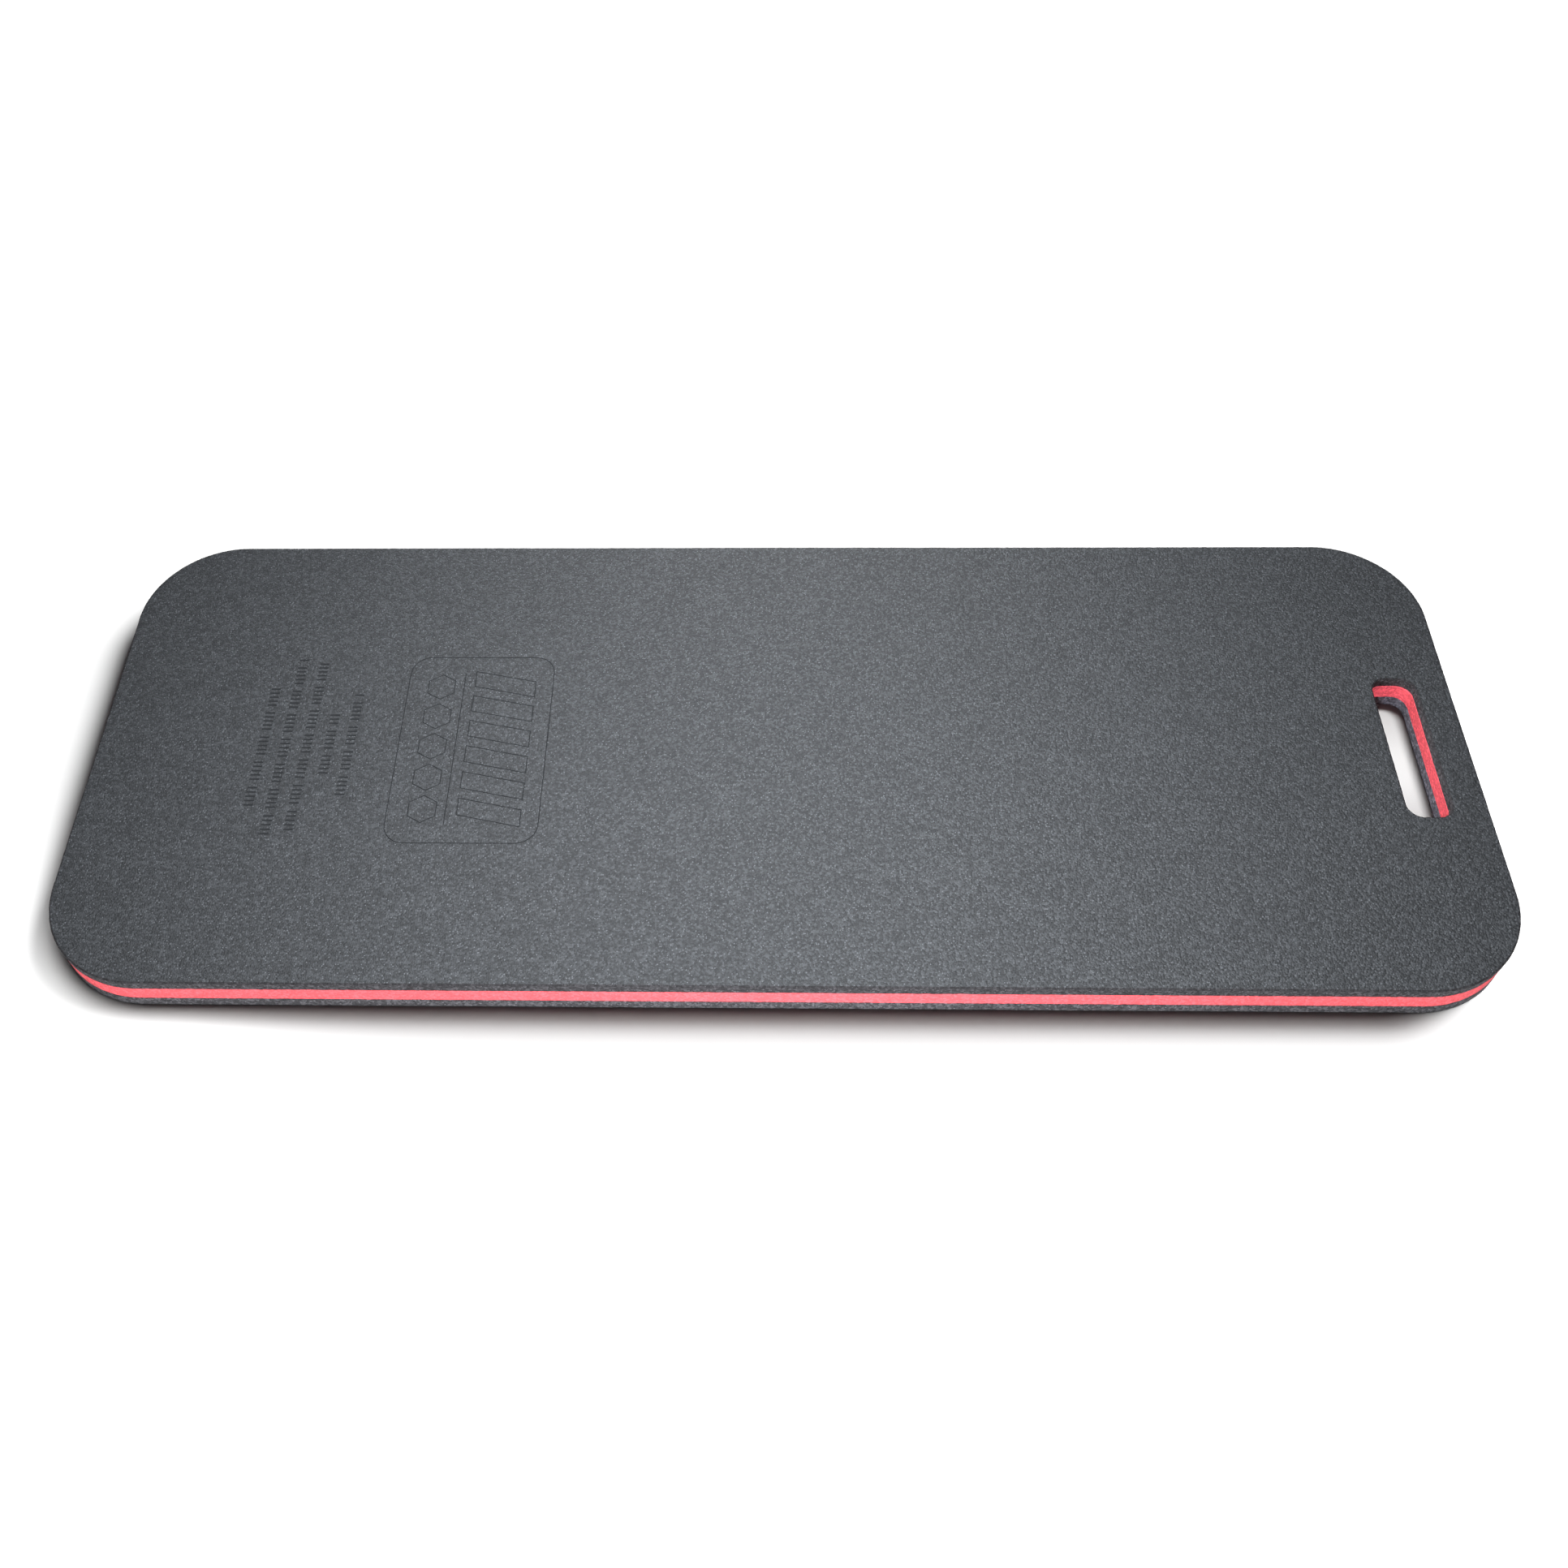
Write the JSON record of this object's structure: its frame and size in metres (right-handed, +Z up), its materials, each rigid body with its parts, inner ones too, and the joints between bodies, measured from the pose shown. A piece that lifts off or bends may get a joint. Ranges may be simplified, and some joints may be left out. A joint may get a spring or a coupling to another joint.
{
  "type": "kneeling board",
  "caption": "Long flat foam kneeling board with rounded corners, a bright core between dark face sheets, and a hand slot through one end.",
  "frame": {"origin": "centre of the board's outline, on the underside, where it rests on the floor", "axes": "+X along the board's length towards the hand slot, +Y across its width, +Z up through the thickness"},
  "size_m": [0.914, 0.356, 0.0285],
  "materials": {
    "charcoal_foam": "matt closed-cell foam with a fine pebbled skin and small pale flecks",
    "coral_foam": "matt closed-cell foam, seen only where the die has cut it",
    "bond_adhesive": "thin rubbery contact adhesive, satin"
  },
  "bodies": {
    "root": {"top_foam_sheet": "charcoal_foam", "upper_bond_film": "bond_adhesive", "core_foam_sheet": "coral_foam", "lower_bond_film": "bond_adhesive", "bottom_foam_sheet": "charcoal_foam"}
  },
  "joints": []
}
